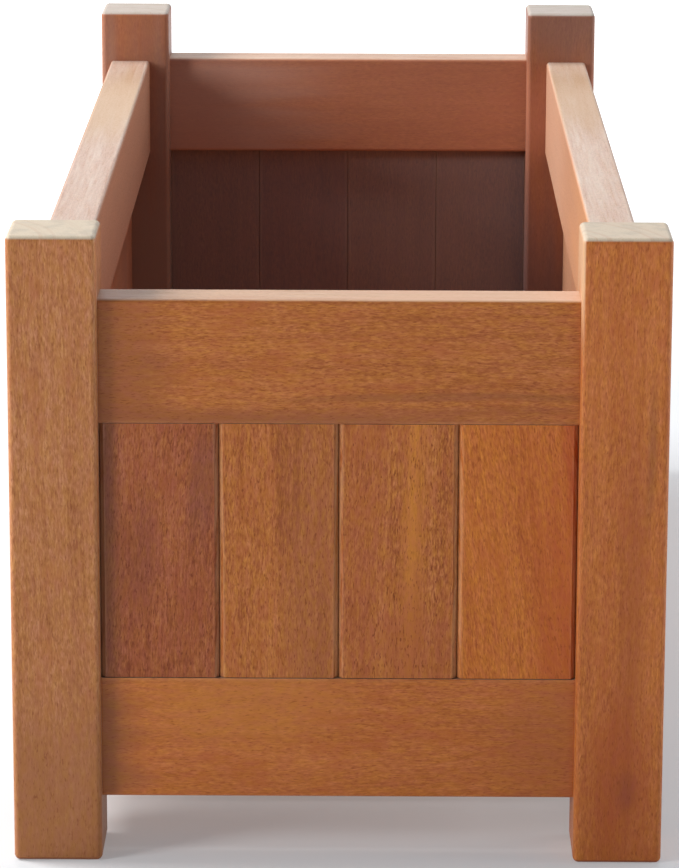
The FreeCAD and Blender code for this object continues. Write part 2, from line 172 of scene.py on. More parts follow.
class Bench:
    """The node tree of one material, and the calls that add nodes to it."""

    MIX_FACTOR = 0
    MIX_FIRST = 6
    MIX_SECOND = 7
    MIX_RESULT = 2
    OBJECT_PLACE = 3
    OBJECT_NORMAL = 1

    def __init__(self, name: str) -> None:
        """Starts a material with this name."""
        self.material = bpy.data.materials.new(name)
        self.material.use_nodes = True
        self.tree = self.material.node_tree
        self.shader = self.tree.nodes["Principled BSDF"]

    def feed(self, socket: bpy.types.NodeSocket, value: object) -> None:
        """Links a value to an input socket, or sets a number, vector or colour on it.

        Args:
            socket: The input socket.
            value: What it gets.
        """
        if isinstance(value, Value):
            self.tree.links.new(value.socket, socket)
        elif isinstance(value, tuple) and socket.type == "RGBA":
            socket.default_value = (*value, 1.0)
        else:
            socket.default_value = value

    def node(self, kind: str, settings: dict, inputs: dict, output: int = 0) -> Value:
        """Adds a node.

        Args:
            kind: The node's type.
            settings: Its settings, set first. A ramp's stops are pairs of place and colour.
            inputs: What its input sockets get, by index or name.
            output: Which of its outputs is wanted.

        Returns:
            That output.
        """
        made = self.tree.nodes.new(kind)
        for name, value in settings.items():
            if name == "stops":
                elements = made.color_ramp.elements
                while len(elements) < len(value):
                    elements.new(0.5)
                for element, (place, colour) in zip(elements, value):
                    element.position = place
                    element.color = (*colour, 1.0)
            else:
                setattr(made, name, value)
        for socket, value in inputs.items():
            self.feed(made.inputs[socket], value)
        return Value(self, made.outputs[output])

    def place(self) -> Value:
        """The point of the surface, in the frame of the solids."""
        return self.node("ShaderNodeTexCoord", {}, {}, self.OBJECT_PLACE)

    def facing(self) -> Value:
        """The way that the surface faces, in the frame of the solids."""
        return self.node("ShaderNodeTexCoord", {}, {}, self.OBJECT_NORMAL)

    def parts(self, vector: Value) -> Spot:
        """The X, Y and Z of a vector."""
        first = self.node("ShaderNodeSeparateXYZ", {}, {0: vector})
        return tuple(Value(self, socket) for socket in first.socket.node.outputs)

    def join(self, x: Number, y: Number, z: Number) -> Value:
        """A vector from three numbers."""
        return self.node("ShaderNodeCombineXYZ", {}, {0: x, 1: y, 2: z})

    def stretched(self, vector: Value, scale: Triple, shift: Triple) -> Value:
        """A vector times a scale along each axis, plus a shift."""
        settings = {"operation": "MULTIPLY_ADD"}
        return self.node("ShaderNodeVectorMath", settings, {0: vector, 1: scale, 2: shift})

    def noise(self, vector: Value, detail: float, rough: float) -> Value:
        """Smooth noise about 0.5, one bump to each unit of the vector."""
        inputs = {"Vector": vector, "Scale": 1.0, "Detail": detail, "Roughness": rough}
        return self.node("ShaderNodeTexNoise", {"noise_dimensions": "3D"}, inputs)

    def noise_along(self, distance: Value, detail: float, rough: float) -> Value:
        """Smooth noise about 0.5 along a line, one bump to each unit of distance."""
        inputs = {"W": distance, "Scale": 1.0, "Detail": detail, "Roughness": rough}
        return self.node("ShaderNodeTexNoise", {"noise_dimensions": "1D"}, inputs)

    def ramp(self, value: Value, stops: tuple) -> Value:
        """A colour from a ramp of stops, each a pair of place and colour."""
        return self.node("ShaderNodeValToRGB", {"stops": stops}, {0: value})

    def mix(self, first: object, second: object, factor: Number, blend: str = "MIX") -> Value:
        """Mixes two colours.

        Args:
            first: The first colour.
            second: The second colour.
            factor: How far the result goes from the first to the second, or to their blend.
            blend: How the two are blended.

        Returns:
            The mixed colour.
        """
        settings = {"data_type": "RGBA", "blend_type": blend}
        inputs = {self.MIX_FACTOR: factor, self.MIX_FIRST: first, self.MIX_SECOND: second}
        return self.node("ShaderNodeMix", settings, inputs, self.MIX_RESULT)

    def bump(self, height: Value, strength: float, distance: float) -> Value:
        """A normal that follows a height."""
        inputs = {"Height": height, "Strength": strength, "Distance": distance}
        return self.node("ShaderNodeBump", {}, inputs)

    def finish(self, **inputs: object) -> bpy.types.Material:
        """Sets the shader's inputs, with spaces in their names written as underscores.

        Args:
            inputs: What each input of the shader gets.

        Returns:
            The finished material.
        """
        for name, value in inputs.items():
            self.feed(self.shader.inputs[name.replace("_", " ")], value)
        return self.material


class Grain(Enum):
    """How a board lies: the axes across its face, into its depth and along its grain."""

    UPRIGHT_FACING_END = (0, 1, 2)
    UPRIGHT_FACING_SIDE = (1, 0, 2)
    LEVEL_ON_END = (2, 1, 0)
    LEVEL_ON_SIDE = (2, 0, 1)
    FLAT_ACROSS = (1, 2, 0)


class Tone(Enum):
    """The main colour of a board, as it shows on a screen."""

    TAN = (178, 114, 67)
    AMBER = (176, 102, 46)
    COPPER = (183, 103, 46)
    HONEY = (188, 104, 38)
    RUSSET = (156, 84, 44)
    BROWN = (164, 97, 52)

    def shade(self, strength: float, red: float = 1.0) -> Colour:
        """This colour made lighter or darker, as by less or more of the same dye.

        Args:
            strength: How light it is, 1 for as it is.
            red: How red it is, 1 for as it is.

        Returns:
            The colour in linear light.
        """
        base = screen(*self.value)
        return (base[0] * strength, base[1] * strength**GREEN_DYE / red, base[2] * strength**BLUE_DYE / red)


@dataclass(frozen=True)
class Figure:
    """One kind of mark in the wood: its width, its length along the grain and its finer noise."""

    wide: float
    long: float
    detail: float = 2.0
    rough: float = 0.5

    def noise(self, place: Value, shift: Triple) -> Value:
        """Draws the marks.

        Args:
            place: The place in the board.
            shift: The board's own shift of the noise.

        Returns:
            Smooth noise about 0.5, with one such mark to each of its bumps.
        """
        scale = (1 / self.wide, 1 / self.wide, 1 / self.long)
        return place.bench.noise(place.bench.stretched(place, scale, shift), self.detail, self.rough)


@dataclass(frozen=True)
class Patch:
    """A streak or patch of another colour, with a soft edge, placed from the middle of its board."""

    colour: Colour
    across: float
    along: float
    half_wide: float
    half_long: float
    strength: float


@dataclass(frozen=True)
class Life:
    """How strongly a board's figure and its blush show, 1 for as usual."""

    figure: float = 1.0
    blush: float = 1.0


@dataclass(frozen=True)
class Board:
    """One board: the node that it dresses, how it lies, and its own colour, patches and liveliness.

    Its inward pair says which way the box's inside lies along X and Y. Its inner light and shade are patches
    of painted light and shade that show only on the faces turned that way, and its highlight patches shape
    the painted highlight on the upper ones. Seen holds the corners of the part that shows, where some of it
    is hidden.
    """

    node: str
    grain: Grain
    tone: Tone
    patches: Patches = ()
    slope: float = 0.0
    inward: tuple[int, int] = (0, 0)
    inner_light_and_shade: Patches = ()
    highlight_patches: Patches = ()
    life: Life = Life()
    seen: tuple[Vector, Vector] | None = None

    def corners(self) -> tuple[Vector, Vector]:
        """The lowest and highest corners of the part of the board that is seen."""
        return self.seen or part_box(self.node)

    def middle(self) -> Vector:
        """The middle of the part of the board that is seen."""
        low, high = self.corners()
        return (low + high) / 2

    def half(self) -> Vector:
        """Half the size of the part of the board that is seen."""
        low, high = self.corners()
        return (high - low) / 2


@dataclass(frozen=True)
class Marks:
    """The marks of a board's wood, as values over its surface, and where they lie across and along it."""

    across: Value
    along: Value
    rings: Value
    drift: Value
    ribbon: Value
    mottle: Value
    fibre: Value
    dash: Value
    pores: Value
    blush: Value


@dataclass(frozen=True)
class WoodFinish:
    """A hardwood with short open pores, and how its surface is finished.

    A share is the part that one kind of mark has in the light and dark of the wood. An edge is a pair of
    limits, between which something goes from not showing to showing in full. A shade is how light a colour
    is, beside the board's own.
    """

    UP = 2
    shift_reach: float = 40.0
    slope_reach: float = 0.02
    pith_across: Span = (0.02, 0.10)
    pith_deep: Span = (0.03, 0.09)
    ring: float = 0.006
    ring_detail: float = 3.0
    ring_rough: float = 0.6
    wander: Figure = Figure(0.05, 0.16)
    wander_reach: float = 0.008
    drift: Figure = Figure(0.09, 0.20, rough=0.55)
    ribbon: Figure = Figure(0.014, 0.22)
    mottle: Figure = Figure(0.011, 0.024)
    fibre: Figure = Figure(0.0022, 0.050, rough=0.6)
    dash: Figure = Figure(0.0010, 0.0044, rough=0.6)
    pore: Figure = Figure(0.0007, 0.0034, detail=1.0)
    saw: Figure = Figure(0.06, 0.0022, rough=0.6)
    blush: Figure = Figure(0.0034, 0.0095, detail=3.0, rough=0.6)

    ring_share: float = 0.11
    fibre_share: float = 0.14
    dash_share: float = 0.42
    ribbon_share: float = 0.12
    mottle_share: float = 0.11
    drift_share: float = 0.10
    contrast: float = 0.29
    dark_shade: float = 0.62
    light_shade: float = 1.38
    mottle_shade: float = 0.88
    mottle_red: float = 1.16
    mottle_edge: Span = (0.45, 0.70)
    mottle_strength: float = 0.5
    pore_shade: float = 0.45
    pore_edge: Span = (0.58, 0.74)
    pore_strength: float = 0.56
    blush_edge: Span = (0.3, 0.7)
    blush_strength: float = 0.7
    golden: Colour = (1.0, 1.043, 0.63)
    rosy: Colour = (1.0, 0.943, 1.286)
    patch_edge: Span = (1.2, 0.3)

    # Wear on the long arrises; on the slats' bevels it is also a painted highlight of the lit bevel.
    wear_and_glint_colour: Colour = screen(206, 158, 116)
    wear_and_glint_edge: Span = (0.3, 0.6)
    wear_and_glint_width: float = 0.0026
    wear_and_glint_strength: float = 0.12
    # The inner faces are painted paler and greyer: partly dry wood, partly painted glare and light on them.
    inside_edge: Span = (0.3, 0.7)
    dry_and_glare_colour: Colour = screen(200, 151, 121)
    dry_and_glare_strength: float = 0.6
    # Painted highlight on the upward faces, streaked along the grain.
    above_edge: Span = (0.5, 0.95)
    top_highlight_colour: Colour = screen(204, 188, 168)
    top_highlight_strength: float = 0.5
    top_highlight_ribbon: float = 0.8
    top_highlight_fibre: float = 1.4
    top_highlight_less: float = 0.1

    # Pale end grain; its colour is made paler still, over the rounded arrises too, as a painted highlight.
    end_edge: Span = (0.3, 0.7)
    end_shade: float = 1.1
    end_and_highlight_colour: Colour = screen(195, 181, 158)
    end_strength: float = 0.9
    end_dark_shade: float = 0.8
    end_ring_edge: Span = (0.5, 0.75)
    end_ring_strength: float = 0.32
    end_pore_strength: float = 0.26
    grey_colour: Colour = screen(160, 146, 128)
    grey_edge: Span = (0.45, 0.7)
    grey_strength: float = 0.4
    under_shade: float = 0.6
    under_edge: Span = (0.0, -0.3)

    saw_strength: float = 0.0
    saw_shade: float = 0.7
    saw_edge: Span = (0.5, 0.75)
    saw_stain: float = 0.3
    roughness: float = 0.42
    dash_rough: float = 0.16
    pore_rough: float = 0.14
    end_rough: float = 0.12
    specular: float = 0.25
    bloom: float = 0.06
    bloom_rough: float = 0.4
    dash_high: float = 0.5
    pore_deep: float = 0.8
    bump_strength: float = 0.16
    bump_high: float = 0.0004

    def dress(self, board: Board) -> None:
        """Makes the board's own material and puts it on its node.

        Args:
            board: The board to dress.
        """
        chance = random.Random(board.node)
        bench = Bench(f"{board.node}_finish")
        shift = tuple(chance.uniform(-self.shift_reach, self.shift_reach) for _ in range(3))
        spot = self.lay(bench, board)
        place = bench.join(*spot)
        marks = self.mark(board, spot, place, shift, chance)
        facing = bench.parts(bench.facing())
        colour = self.wear_and_paint_light(self.grow(board, marks), board, spot, marks, facing)
        end = abs(facing[board.grain.value[2]]).rise(*self.end_edge)
        colour = bench.mix(colour, self.end_grain(board, marks, facing[self.UP]), end)

        rough = self.roughness + self.dash_rough * (0.5 - marks.dash) + self.pore_rough * marks.pores
        height = self.dash_high * marks.dash - self.pore_deep * marks.pores
        if self.saw_strength:
            sawn = self.saw.noise(place, shift)
            height = height + self.saw_strength * sawn
            stained = sawn.rise(*self.saw_edge) * self.saw_stain
            colour = bench.mix(colour, board.tone.shade(self.saw_shade), stained)
        material = bench.finish(
            Base_Color=colour,
            Roughness=rough + self.end_rough * end,
            Specular_IOR_Level=self.specular,
            Sheen_Weight=self.bloom,
            Sheen_Roughness=self.bloom_rough,
            Normal=bench.bump(height, self.bump_strength, self.bump_high),
        )
        wear(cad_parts[board.node], material)

    def lay(self, bench: Bench, board: Board) -> Spot:
        """Finds the place in a board.

        Args:
            bench: The material's bench.
            board: The board.

        Returns:
            The distances from the board's middle across its face, into its depth and along its grain.
        """
        centred = bench.stretched(bench.place(), (1.0, 1.0, 1.0), tuple(-part for part in board.middle()))
        found = bench.parts(centred)
        return tuple(found[axis] for axis in board.grain.value)

    def mark(self, board: Board, spot: Spot, place: Value, shift: Triple, chance: random.Random) -> Marks:
        """Draws the marks of a board's wood.

        Args:
            board: The board.
            spot: The place in it, as three distances.
            place: The same place as a vector.
            shift: The board's own shift of every noise.
            chance: The board's own random numbers.

        Returns:
            The marks.
        """
        across, depth, along = spot
        wander = self.wander.noise(place, shift) - 0.5
        slope = board.slope + chance.uniform(-self.slope_reach, self.slope_reach)
        shaken = across + along * slope + wander * self.wander_reach
        grain = place.bench.join(shaken, depth + wander * (self.wander_reach / 2), along)
        ring_x = shaken + chance.uniform(*self.pith_across)
        ring_y = depth + chance.uniform(*self.pith_deep) * chance.choice((-1, 1))
        radius = (ring_x * ring_x + ring_y * ring_y) ** 0.5
        rings = radius * (1 / self.ring) + shift[0]
        return Marks(
            across=shaken,
            along=along,
            rings=place.bench.noise_along(rings, self.ring_detail, self.ring_rough),
            drift=self.drift.noise(place, shift),
            ribbon=self.ribbon.noise(grain, shift),
            mottle=self.mottle.noise(grain, shift),
            fibre=self.fibre.noise(grain, shift),
            dash=self.dash.noise(grain, shift),
            pores=self.pore.noise(grain, shift).rise(*self.pore_edge),
            blush=self.blush.noise(grain, shift).rise(*self.blush_edge),
        )

    def grow(self, board: Board, marks: Marks) -> Value:
        """Colours a board's wood as it is before its wear, its dry inner faces and its painted light.

        Args:
            board: The board.
            marks: Its marks.

        Returns:
            The colour.
        """
        bench = marks.across.bench
        tone = board.tone
        fine = self.ring_share * marks.rings + self.fibre_share * marks.fibre + self.dash_share * marks.dash
        coarse = self.ribbon_share * marks.ribbon + self.mottle_share * marks.mottle
        figure = fine + coarse + self.drift_share * marks.drift
        contrast = self.contrast / board.life.figure
        level = (figure - (0.5 - contrast / 2)) * (1 / contrast)
        shades = ((0.0, self.dark_shade), (0.5, 1.0), (1.0, self.light_shade))
        colour = bench.ramp(level, tuple((stop, tone.shade(shade)) for stop, shade in shades))
        ruddy = marks.mottle.rise(*self.mottle_edge) * self.mottle_strength
        colour = bench.mix(colour, tone.shade(self.mottle_shade, self.mottle_red), ruddy)
        colour = self.patched(colour, board.patches, marks)
        pores = marks.pores * (self.pore_strength * board.life.figure)
        colour = bench.mix(colour, tone.shade(self.pore_shade), pores)
        tint = bench.ramp(marks.blush, ((0.0, self.rosy), (1.0, self.golden)))
        return bench.mix(colour, tint, self.blush_strength * board.life.blush, "MULTIPLY")

    def wear_and_paint_light(self, colour: Value, board: Board, spot: Spot, marks: Marks, facing: Spot) -> Value:
        """Wears the arrises pale, which on the bevels is also a painted highlight; paints the inner faces
        paler and greyer, as dry wood and painted glare, with patches of painted light and shade; and lays a
        painted highlight on the upper faces.

        Args:
            colour: The wood's own colour.
            board: The board.
            spot: The place in it, as three distances.
            marks: Its marks.
            facing: The way that its surface faces.

        Returns:
            The colour.
        """
        bench = colour.bench
        wear_and_glint = self.wear_and_glint_mask(board, spot) * marks.fibre.rise(*self.wear_and_glint_edge)
        colour = bench.mix(colour, self.wear_and_glint_colour, wear_and_glint * self.wear_and_glint_strength)
        ways = [(axis, way) for axis, way in enumerate(board.inward) if way]
        turned = [(facing[axis] * way).rise(*self.inside_edge) for axis, way in ways]
        if turned:
            inside = turned[0].most(turned[-1])
            colour = bench.mix(colour, self.dry_and_glare_colour, inside * self.dry_and_glare_strength)
            colour = self.patched(colour, board.inner_light_and_shade, marks, inside)
        if self.top_highlight_strength:
            above = facing[self.UP].rise(*self.above_edge)
            streaks = self.top_highlight_ribbon * marks.ribbon + self.top_highlight_fibre * marks.fibre - self.top_highlight_less
            colour = bench.mix(colour, self.top_highlight_colour, above * streaks * self.top_highlight_strength)
            colour = self.patched(colour, board.highlight_patches, marks, above)
        return colour

    def end_grain(self, board: Board, marks: Marks, up: Value) -> Value:
        """Colours a board's ends: pale end grain, made paler still as a painted highlight, and darker
        underneath.

        Args:
            board: The board.
            marks: Its marks.
            up: How far its surface faces up.

        Returns:
            The colour.
        """
        tone = board.tone
        pale = between(tone.shade(self.end_shade), self.end_and_highlight_colour, self.end_strength)
        rings = marks.rings.rise(*self.end_ring_edge) * self.end_ring_strength
        dark = rings.most(marks.pores * self.end_pore_strength)
        colour = up.bench.mix(pale, tone.shade(self.end_dark_shade), dark)
        grey = marks.mottle.rise(*self.grey_edge) * self.grey_strength
        colour = up.bench.mix(colour, self.grey_colour, grey)
        return up.bench.mix(colour, tone.shade(self.under_shade), up.rise(*self.under_edge))

    def patched(self, colour: Value, patches: Patches, marks: Marks, where: Number = 1.0) -> Value:
        """Lays patches over a colour.

        Args:
            colour: The colour under them.
            patches: The patches.
            marks: The board's marks, of which the ribbon roughens the patches' edges.
            where: How far they show at all.

        Returns:
            The colour with the patches on it.
        """
        for patch in patches:
            wide = (marks.across - patch.across) * (1 / patch.half_wide)
            long = (marks.along - patch.along) * (1 / patch.half_long)
            reach = (wide * wide + long * long) ** 0.5 + (marks.ribbon - 0.5)
            strength = where * patch.strength
            colour = colour.bench.mix(colour, patch.colour, reach.rise(*self.patch_edge) * strength)
        return colour

    def wear_and_glint_mask(self, board: Board, spot: Spot) -> Value:
        """Where a board's long arrises are rubbed pale, as wear and, on the bevels, as a painted highlight.

        Args:
            board: The board.
            spot: The place in it, as three distances.

        Returns:
            1 on an arris of the board's box, falling to 0 beside it.
        """
        half = board.half()
        inset = [half[axis] - abs(found) for axis, found in zip(board.grain.value[:2], spot)]
        return inset[0].most(inset[1]).rise(self.wear_and_glint_width, 0.0)


@dataclass(frozen=True)
class SteelFinish:
    """Plain zinc-plated steel with a faint brushed look and dull clouds."""

    colour: Colour = screen(176, 174, 168)
    dull: Colour = screen(120, 116, 108)
    dull_edge: Span = (0.45, 0.75)
    brushed: float = 0.0006
    cloud: float = 0.004
    cloud_shift: Triple = (3.0, 1.0, 2.0)
    roughness: float = 0.34
    line_rough: float = 0.2
    cloud_rough: float = 0.2
    cloud_edge: Span = (0.5, 0.8)
    bump_strength: float = 0.15
    bump_high: float = 0.0001

    def make(self) -> bpy.types.Material:
        """Makes the material.

        Returns:
            The finished material.
        """
        bench = Bench("screw_steel_finish")
        place = bench.place()
        brushing = (1 / self.cloud, 1 / self.brushed, 1 / self.cloud)
        clouding = (1 / self.cloud, 1 / self.cloud, 1 / self.cloud)
        lines = bench.noise(bench.stretched(place, brushing, (0.0, 0.0, 0.0)), detail=2.0, rough=0.5)
        clouds = bench.noise(bench.stretched(place, clouding, self.cloud_shift), detail=3.0, rough=0.6)
        rough = self.roughness + self.line_rough * (lines - 0.5)
        return bench.finish(
            Base_Color=bench.mix(self.colour, self.dull, clouds.rise(*self.dull_edge)),
            Metallic=1.0,
            Roughness=rough + self.cloud_rough * clouds.rise(*self.cloud_edge),
            Normal=bench.bump(lines, self.bump_strength, self.bump_high),
        )


def wear(piece: bpy.types.Object, material: bpy.types.Material) -> None:
    """Puts a material on every slot of a piece, or on a new slot where it has none.

    Args:
        piece: The piece.
        material: The material.
    """
    if not piece.material_slots:
        piece.data.materials.append(material)
    for slot in piece.material_slots:
        slot.material = material


@dataclass
class Posts:
    """The four square posts. The rear ones have greyer end grain, and painted glare, light and shade on their
    inner faces.
    """

    front_finish: WoodFinish
    rear_finish: WoodFinish
    tones: dict[str, Tone] = rows(
        post_front_left=Tone.TAN,
        post_front_right=Tone.COPPER,
        post_rear_left=Tone.AMBER,
        post_rear_right=Tone.BROWN,
    )
    patches: dict[str, Patches] = rows(
        # Painted shade: the front left post darker at its foot.
        post_front_left=(Patch(screen(160, 102, 60), 0.0, -0.17, 0.06, 0.10, 0.7),),
        post_front_right=(
            Patch(screen(160, 82, 36), 0.009, -0.03, 0.010, 0.20, 0.55),
            Patch(screen(136, 80, 44), 0.015, 0.065, 0.004, 0.06, 0.45),
            Patch(screen(164, 77, 34), 0.005, -0.140, 0.024, 0.060, 0.65),
            Patch(screen(130, 62, 44), 0.009, -0.144, 0.008, 0.018, 0.4),
        ),
    )
    inward: dict[str, tuple[int, int]] = rows(
        post_front_right=(-1, 0),
        post_rear_left=(1, -1),
        post_rear_right=(-1, -1),
    )
    # Painted light and shade on the inner faces: a lit strip high on the front right post, and lit and greyer
    # shaded patches on the rear posts.
    inner_light_and_shade: dict[str, Patches] = rows(
        post_front_right=(Patch(screen(200, 161, 125), 0.0, 0.19, 0.2, 0.075, 0.85),),
        post_rear_left=(Patch(screen(146, 127, 117), 0.0, -0.09, 0.2, 0.26, 0.85),),
        post_rear_right=(
            Patch(screen(172, 110, 88), 0.0, 0.105, 0.2, 0.05, 0.4),
            Patch(screen(112, 92, 88), 0.0, 0.19, 0.2, 0.045, 0.35),
            Patch(screen(98, 86, 90), 0.0, -0.08, 0.2, 0.15, 0.6),
        ),
    )
    lives: dict[str, Life] = rows(post_front_left=Life(0.95, 0.7), post_front_right=Life(0.9, 0.95))

    def dress(self) -> list[str]:
        """Dresses every post.

        Returns:
            The nodes dressed.
        """
        for node, tone in self.tones.items():
            finish = self.front_finish if "front" in node else self.rear_finish
            patches = self.patches.get(node, ())
            inner_light_and_shade = self.inner_light_and_shade.get(node, ())
            inward = self.inward.get(node, (0, 0))
            life = self.lives.get(node, Life())
            finish.dress(Board(node, Grain.UPRIGHT_FACING_END, tone, patches, 0.0, inward, inner_light_and_shade, (), life))
        return list(self.tones)


@dataclass
class Rails:
    """The eight rails, a top and a bottom one on each side."""

    front_finish: WoodFinish
    rear_finish: WoodFinish
    side_finish: WoodFinish
    tones: dict[str, Tone] = rows(
        front_top_rail=Tone.AMBER,
        front_bottom_rail=Tone.COPPER,
        rear_top_rail=Tone.AMBER,
        rear_bottom_rail=Tone.BROWN,
        left_top_rail=Tone.BROWN,
        left_bottom_rail=Tone.TAN,
        right_top_rail=Tone.TAN,
        right_bottom_rail=Tone.AMBER,
    )
    patches: dict[str, Patches] = rows(
        front_top_rail=(
            Patch(screen(148, 84, 44), 0.0, -0.130, 0.06, 0.040, 0.75),
            Patch(screen(148, 83, 44), -0.036, -0.04, 0.012, 0.14, 0.85),
            Patch(screen(140, 79, 40), -0.0215, 0.06, 0.003, 0.12, 0.55),
            Patch(screen(146, 80, 40), -0.030, 0.08, 0.003, 0.08, 0.4),
        ),
        front_bottom_rail=(
            Patch(screen(194, 120, 54), 0.024, -0.055, 0.034, 0.075, 0.5),
            Patch(screen(166, 90, 44), 0.0, 0.135, 0.06, 0.05, 0.5),
            # Painted shade: darker at the left end, beside the front left post.
            Patch(screen(146, 86, 46), 0.0, -0.140, 0.06, 0.032, 0.75),
        ),
    )
    # Painted light and shade on the inner faces: greyer shade at the rear rail's left end, and the lit inner
    # face of the right rail.
    inner_light_and_shade: dict[str, Patches] = rows(
        rear_top_rail=(Patch(screen(192, 156, 140), -0.015, -0.14, 0.10, 0.13, 0.5),),
        right_top_rail=(
            Patch(screen(214, 150, 98), 0.0, -0.30, 0.2, 0.30, 0.5),
            Patch(screen(210, 168, 142), 0.0, 0.30, 0.2, 0.24, 0.35),
        ),
    )
    # Patches that shape the painted highlight on the upper faces; the one at the front rail's left end is a
    # painted shadow of the post.
    highlight_patches: dict[str, Patches] = rows(
        front_top_rail=(
            Patch(screen(208, 160, 124), 0.0, 0.11, 0.2, 0.13, 0.6),
            Patch(screen(167, 121, 95), 0.0, -0.135, 0.2, 0.03, 0.6),
        ),
        left_top_rail=(Patch(screen(183, 147, 109), 0.0, 0.21, 0.2, 0.18, 0.7),),
        right_top_rail=(Patch(screen(178, 138, 98), 0.0, 0.26, 0.2, 0.18, 0.7),),
    )
    slopes: dict[str, float] = rows(front_bottom_rail=-0.03)
    lives: dict[str, Life] = rows(front_bottom_rail=Life(0.78, 1.05))

    def dress(self) -> list[str]:
        """Dresses every rail.

        Returns:
            The nodes dressed.
        """
        for node, tone in self.tones.items():
            on_end = node.startswith(("front", "rear"))
            grain = Grain.LEVEL_ON_END if on_end else Grain.LEVEL_ON_SIDE
            slope = self.slopes.get(node, 0.0)
            inward = INWARD[node.split("_")[0]]
            patches = self.patches.get(node, ())
            inner_light_and_shade = self.inner_light_and_shade.get(node, ())
            highlight_patches = self.highlight_patches.get(node, ())
            life = self.lives.get(node, Life())
            board = Board(node, grain, tone, patches, slope, inward, inner_light_and_shade, highlight_patches, life)
            self.finish(node).dress(board)
        return list(self.tones)

    def finish(self, node: str) -> WoodFinish:
        """The finish of a rail, by the side that it is on."""
        finishes = {"front": self.front_finish, "rear": self.rear_finish}
        return finishes.get(node.split("_")[0], self.side_finish)


@dataclass
class Slats:
    """The upright slats of the four panels, of which the rear ones are greyer inside, as painted shade."""

    finish: WoodFinish
    rear_finish: WoodFinish
    tones: dict[str, Tone] = rows(
        front_slat_1=Tone.RUSSET,
        front_slat_2=Tone.AMBER,
        front_slat_3=Tone.AMBER,
        front_slat_4=Tone.HONEY,
        rear_slat_1=Tone.BROWN,
        rear_slat_2=Tone.BROWN,
        rear_slat_3=Tone.RUSSET,
        rear_slat_4=Tone.BROWN,
        right_slat_10=Tone.AMBER,
        right_slat_11=Tone.TAN,
        right_slat_12=Tone.TAN,
    )
    patches: dict[str, Patches] = rows(
        front_slat_1=(
            Patch(screen(128, 66, 44), -0.010, 0.0, 0.014, 0.045, 0.45),
            Patch(screen(128, 70, 52), 0.022, 0.040, 0.009, 0.035, 0.45),
            # Painted shadow of the front left post, along the slat's left edge.
            Patch(screen(120, 66, 42), -0.038, 0.02, 0.018, 0.3, 0.75),
        ),
        front_slat_2=(Patch(screen(158, 92, 50), 0.022, -0.02, 0.026, 0.14, 0.5),),
        front_slat_3=(
            Patch(screen(168, 90, 46), -0.020, 0.0, 0.016, 0.3, 0.4),
            Patch(screen(198, 120, 48), 0.008, 0.0, 0.008, 0.5, 0.4),
            Patch(screen(204, 126, 48), 0.008, 0.0, 0.003, 0.5, 0.4),
            Patch(screen(166, 88, 42), 0.014, -0.080, 0.040, 0.060, 0.6),
        ),
        front_slat_4=(
            Patch(screen(180, 84, 32), 0.034, -0.050, 0.034, 0.16, 0.6),
            Patch(screen(166, 62, 26), 0.044, -0.030, 0.016, 0.16, 0.65),
        ),
    )
    slopes: dict[str, float] = rows(front_slat_1=-0.06, front_slat_4=0.11)
    lives: dict[str, Life] = rows(
        front_slat_1=Life(1.1, 1.1),
        front_slat_2=Life(1.12, 1.3),
        front_slat_3=Life(1.3, 1.3),
        front_slat_4=Life(0.86, 1.4),
    )

    def dress(self) -> list[str]:
        """Dresses every slat.

        Returns:
            The nodes dressed.
        """
        nodes = nodes_like("_slat_")
        for node in nodes:
            on_end = node.startswith(("front", "rear"))
            grain = Grain.UPRIGHT_FACING_END if on_end else Grain.UPRIGHT_FACING_SIDE
            tone = self.tones.get(node) or random.Random(node).choice(list(Tone))
            finish = self.rear_finish if node.startswith("rear") else self.finish
            patches = self.patches.get(node, ())
            slope = self.slopes.get(node, 0.0)
            inward = INWARD[node.split("_")[0]]
            seen = self.seen(node, nodes, grain)
            life = self.lives.get(node, Life())
            finish.dress(Board(node, grain, tone, patches, slope, inward, life=life, seen=seen))
        return nodes

    def seen(self, node: str, nodes: list[str], grain: Grain) -> tuple[Vector, Vector]:
        """Finds the part of a slat that is not hidden in its grooves.

        Args:
            node: The slat's node.
            nodes: Every slat's node.
            grain: How the slat lies.

        Returns:
            The lowest and highest corners of that part.
        """
        side = node.split("_")[0]
        count = sum(name.startswith(f"{side}_slat") for name in nodes)
        low, high = (corner.copy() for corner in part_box(node))
        across = grain.value[0]
        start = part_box("post_front_left")[1][across]
        pitch = (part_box("post_rear_right")[0][across] - start) / count
        middle = (low[across] + high[across]) / 2
        low[across] = start + math.floor((middle - start) / pitch) * pitch
        high[across] = low[across] + pitch
        low.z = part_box(f"{side}_bottom_rail")[1].z
        high.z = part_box(f"{side}_top_rail")[0].z
        return low, high


@dataclass
class Floor:
    """The sawn floor boards and the two cleats that carry them."""

    finish: WoodFinish

    def dress(self) -> list[str]:
        """Dresses every board and cleat.

        Returns:
            The nodes dressed.
        """
        nodes = nodes_like("floor_board") + nodes_like("floor_cleat")
        for node in nodes:
            grain = Grain.FLAT_ACROSS if node.startswith("floor_board") else Grain.LEVEL_ON_SIDE
            tone = random.Random(node).choice((Tone.BROWN, Tone.TAN, Tone.AMBER))
            self.finish.dress(Board(node, grain, tone))
        return nodes


